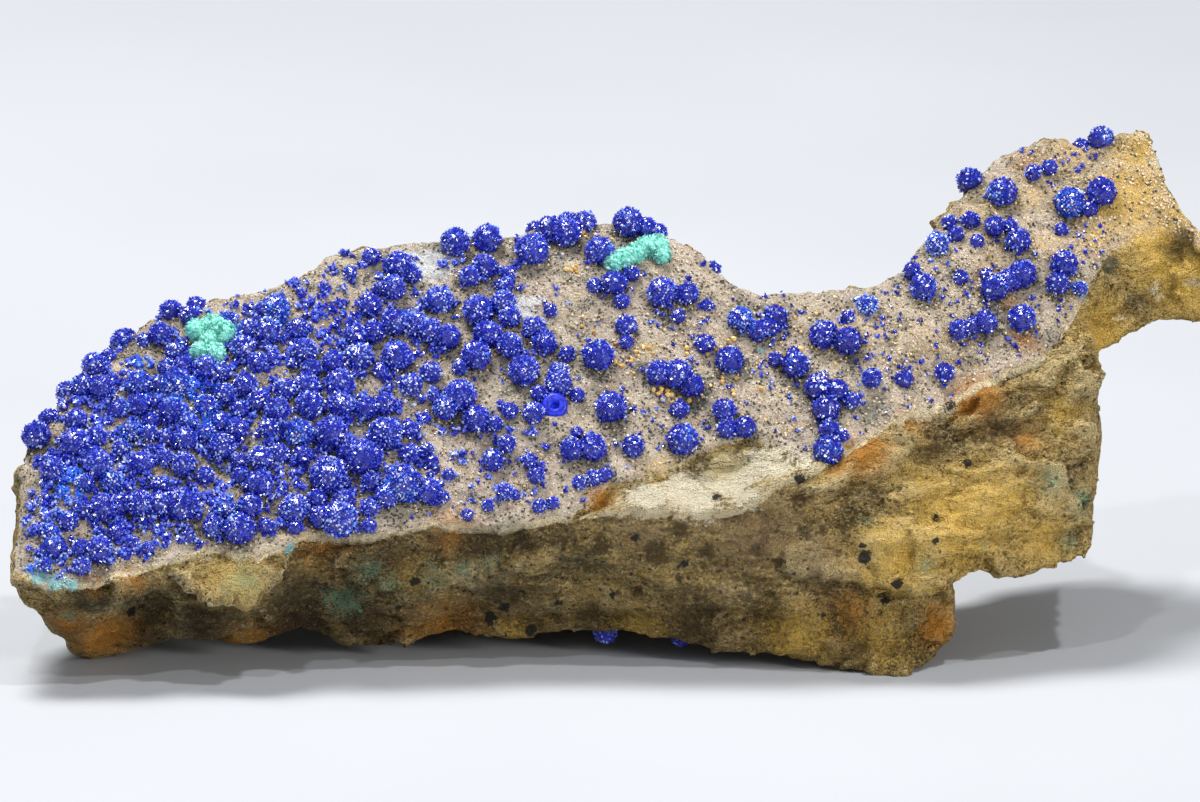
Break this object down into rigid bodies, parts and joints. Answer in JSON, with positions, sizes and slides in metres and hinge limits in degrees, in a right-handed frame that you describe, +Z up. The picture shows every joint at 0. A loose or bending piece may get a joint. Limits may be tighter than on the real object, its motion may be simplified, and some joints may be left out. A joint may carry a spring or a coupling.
{
  "type": "azurite specimen",
  "caption": "Natural azurite specimen: balls of small deep blue crystals scattered over the sloping face of a sandy, iron-stained rock slab, with pale green malachite tufts.",
  "frame": {"origin": "middle of the specimen's bounding box across and front to back, at the surface its feet rest on", "axes": "+X along the specimen towards its thin tail, -Y towards the broken front, +Z up"},
  "size_m": [0.0756, 0.0282, 0.0303],
  "materials": {
    "rock": "rough, earthy",
    "azurite": "glossy crystals",
    "malachite": "satin, fibrous"
  },
  "bodies": {
    "root": {"azurite_cluster_01": "azurite", "azurite_cluster_02": "azurite", "azurite_cluster_03": "azurite", "azurite_cluster_04": "azurite", "azurite_cluster_05": "azurite", "azurite_cluster_06": "azurite", "azurite_cluster_07": "azurite", "azurite_cluster_08": "azurite", "azurite_cluster_09": "azurite", "azurite_cluster_10": "azurite", "azurite_cluster_11": "azurite", "azurite_cluster_12": "azurite", "azurite_cluster_13": "azurite", "azurite_cluster_14": "azurite", "azurite_cluster_15": "azurite", "azurite_cluster_16": "azurite", "azurite_cluster_17": "azurite", "azurite_cluster_18": "azurite", "azurite_cluster_19": "azurite", "azurite_cluster_20": "azurite", "azurite_cluster_21": "azurite", "azurite_cluster_22": "azurite", "azurite_cluster_23": "azurite", "azurite_cluster_24": "azurite", "azurite_cluster_25": "azurite", "azurite_cluster_26": "azurite", "azurite_cluster_27": "azurite", "azurite_cluster_28": "azurite", "azurite_cluster_29": "azurite", "azurite_cluster_30": "azurite", "azurite_cluster_31": "azurite", "azurite_cluster_32": "azurite", "azurite_cluster_33": "azurite", "azurite_cluster_34": "azurite", "azurite_cluster_35": "azurite", "azurite_cluster_36": "azurite", "azurite_cluster_37": "azurite", "azurite_cluster_38": "azurite", "azurite_cluster_39": "azurite", "azurite_cluster_40": "azurite", "azurite_cluster_41": "azurite", "azurite_cluster_42": "azurite", "azurite_cluster_43": "azurite", "azurite_cluster_44": "azurite", "azurite_cluster_45": "azurite", "azurite_cluster_46": "azurite", "azurite_cluster_47": "azurite", "azurite_cluster_48": "azurite", "azurite_crust": "azurite", "malachite_tuft_left": "malachite", "malachite_tuft_top": "malachite", "matrix": "rock"}
  },
  "joints": []
}
